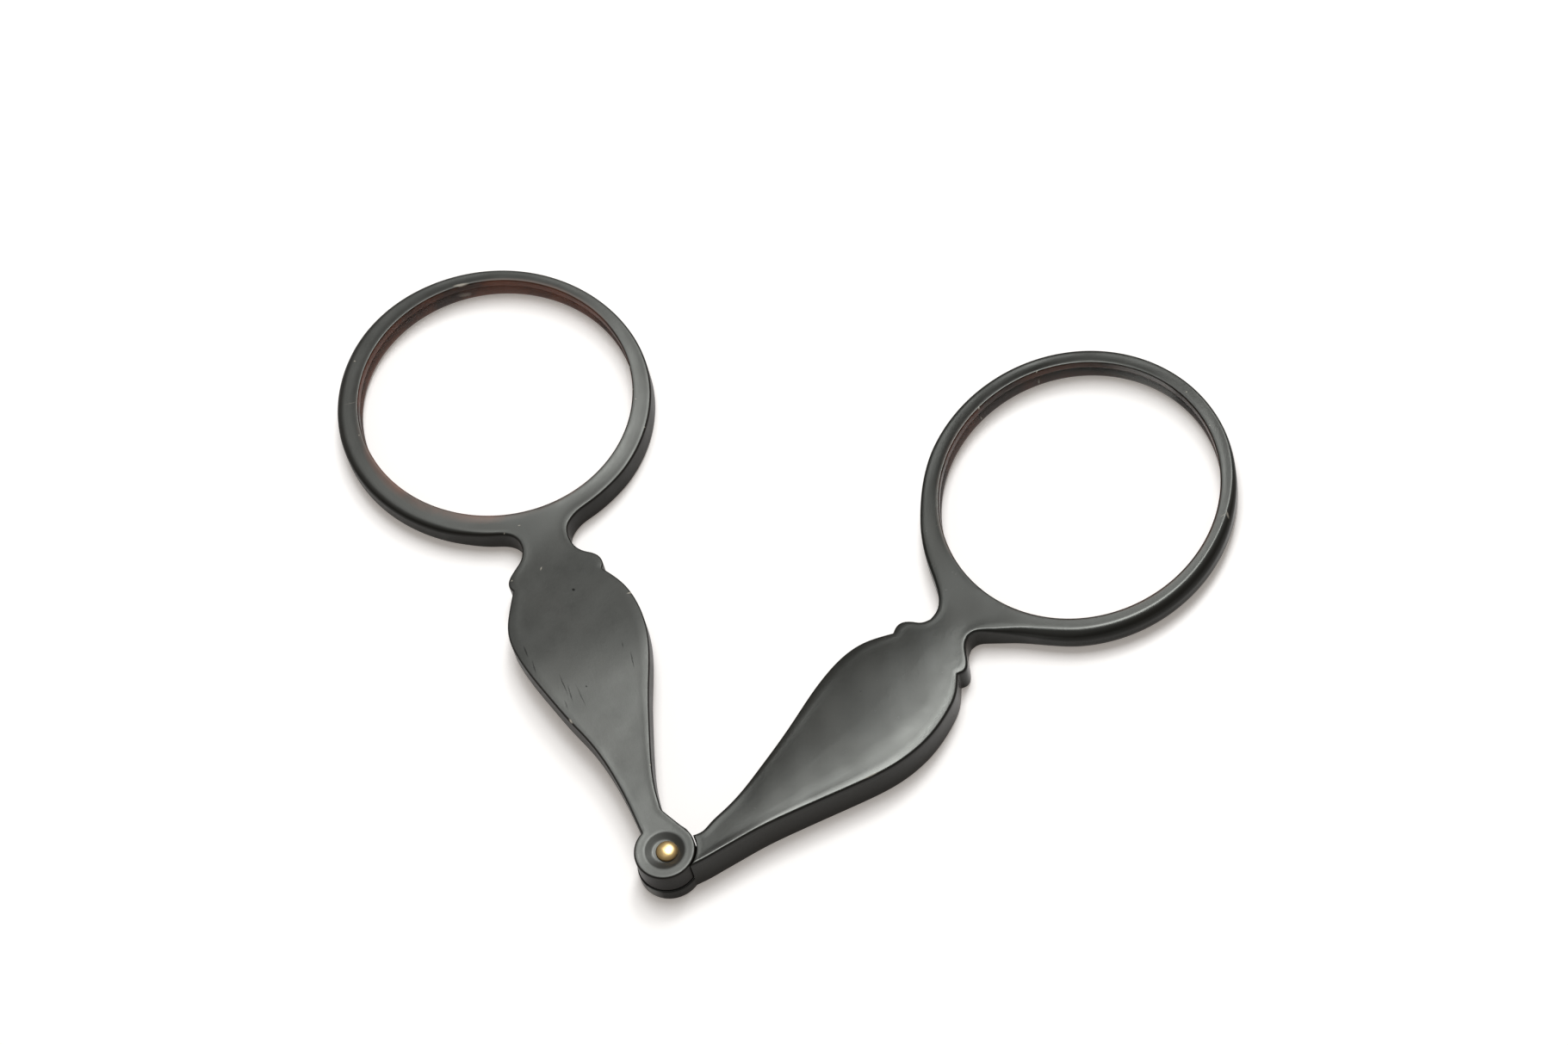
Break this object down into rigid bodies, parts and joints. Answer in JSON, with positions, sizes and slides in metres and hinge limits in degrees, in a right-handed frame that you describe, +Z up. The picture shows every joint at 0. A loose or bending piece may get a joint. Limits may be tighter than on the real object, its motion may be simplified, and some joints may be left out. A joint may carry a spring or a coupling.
{
  "type": "scissor glasses",
  "caption": "Folding hand-held spectacles: two flat horn arms with round rims and lenses, leaf-shaped handles and one riveted lap hinge.",
  "frame": {"origin": "middle of the bounding box, on the plane that the open glasses lie on", "axes": "+X from the left rim to the right rim, +Y from the hinge to the rims between the two arms, +Z up out of the table, along the rivet"},
  "size_m": [0.1226, 0.0862, 0.0066],
  "materials": {
    "horn": "polished dark horn, worn in places",
    "lens_glass": "clear, polished",
    "rivet_brass": "polished, slightly tarnished at its edge"
  },
  "bodies": {
    "right_side": {"right_arm": "horn", "right_lens": "lens_glass", "pivot_rivet": "rivet_brass"},
    "left_side": {"left_arm": "horn", "left_lens": "lens_glass"}
  },
  "joints": [
    {"name": "arm_hinge", "type": "hinge", "parent": "right_side", "child": "left_side", "pos_m": [0, -0.03879, 0.0042], "axis": [0, 0, 1], "range_deg": [-33.2, 113]}
  ]
}
